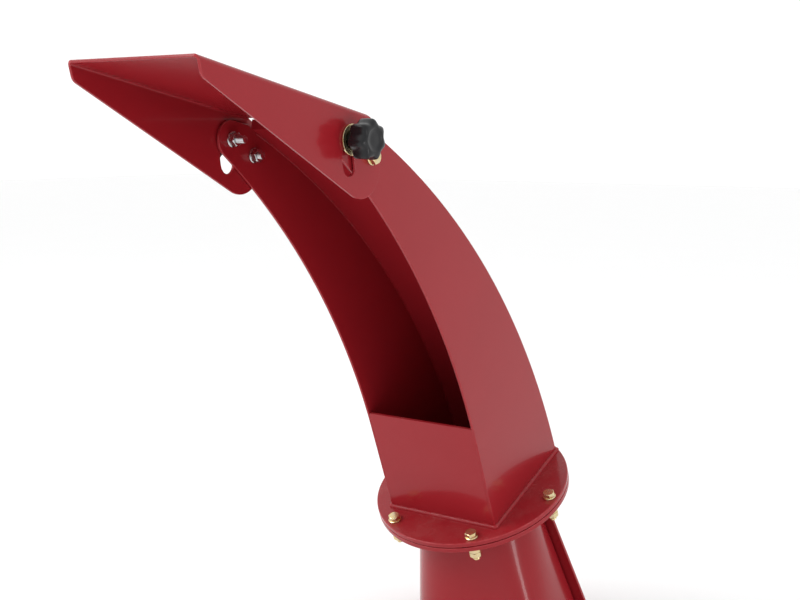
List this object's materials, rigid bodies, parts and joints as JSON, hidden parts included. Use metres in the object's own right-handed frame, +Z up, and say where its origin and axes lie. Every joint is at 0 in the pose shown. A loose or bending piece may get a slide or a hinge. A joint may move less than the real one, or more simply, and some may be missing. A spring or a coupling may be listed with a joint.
{
  "type": "wood chipper discharge chute with swivel flange and tilting deflector",
  "caption": "Curved open-front sheet-metal discharge chute on a leaning swivel flange and neck, with a tilting deflector hood locked by star knobs.",
  "frame": {"origin": "underside of the neck's base plate, straight below the centre of the swivel flange, where the chipper's drum housing holds it", "axes": "+Z up, -Y towards the discharge side, +X to the right-hand side of the chute"},
  "size_m": [0.2661, 0.6728, 0.6988],
  "materials": {
    "red_coat": "glossy dark red powder coat over welded sheet steel",
    "yellow_zinc": "yellow-passivated zinc plated fasteners",
    "knob_plastic": "black moulded star knob"
  },
  "bodies": {
    "neck": {"neck_base_plate": "red_coat", "neck_collar": "red_coat", "neck_gusset_left": "red_coat", "neck_gusset_right": "red_coat", "neck_transition": "red_coat"},
    "chute": {"chute_back_wall": "red_coat", "chute_flange": "red_coat", "chute_front_panel": "red_coat", "chute_side_left": "red_coat", "chute_side_right": "red_coat", "clamp_bolt_0": "yellow_zinc", "clamp_bolt_180": "yellow_zinc", "clamp_bolt_240": "yellow_zinc", "clamp_bolt_300": "yellow_zinc", "clamp_bolt_90": "yellow_zinc", "clamp_jam_nut_0": "yellow_zinc", "clamp_jam_nut_180": "yellow_zinc", "clamp_jam_nut_240": "yellow_zinc", "clamp_jam_nut_300": "yellow_zinc", "clamp_jam_nut_90": "yellow_zinc", "clamp_nut_0": "yellow_zinc", "clamp_nut_180": "yellow_zinc", "clamp_nut_240": "yellow_zinc", "clamp_nut_300": "yellow_zinc", "clamp_nut_90": "yellow_zinc", "clamp_ring": "red_coat", "lock_knob_left": "knob_plastic", "lock_knob_right": "knob_plastic", "lock_nut_left": "yellow_zinc", "lock_nut_right": "yellow_zinc", "lock_stud_left": "yellow_zinc", "lock_stud_right": "yellow_zinc", "lock_washer_left": "yellow_zinc", "lock_washer_right": "yellow_zinc", "pivot_bolt_left": "yellow_zinc", "pivot_bolt_right": "yellow_zinc", "pivot_nut_left": "yellow_zinc", "pivot_nut_right": "yellow_zinc"},
    "deflector": {"deflector_hood": "red_coat"}
  },
  "joints": [
    {"name": "chute_swivel", "type": "hinge", "parent": "neck", "child": "chute", "pos_m": [0, 0, 0.2], "axis": [0, -0.3746, 0.9272], "continuous": true},
    {"name": "deflector_tilt", "type": "hinge", "parent": "chute", "child": "deflector", "pos_m": [0, -0.32026, 0.61312], "axis": [-1, 0, 0], "range_deg": [0, 45]}
  ]
}
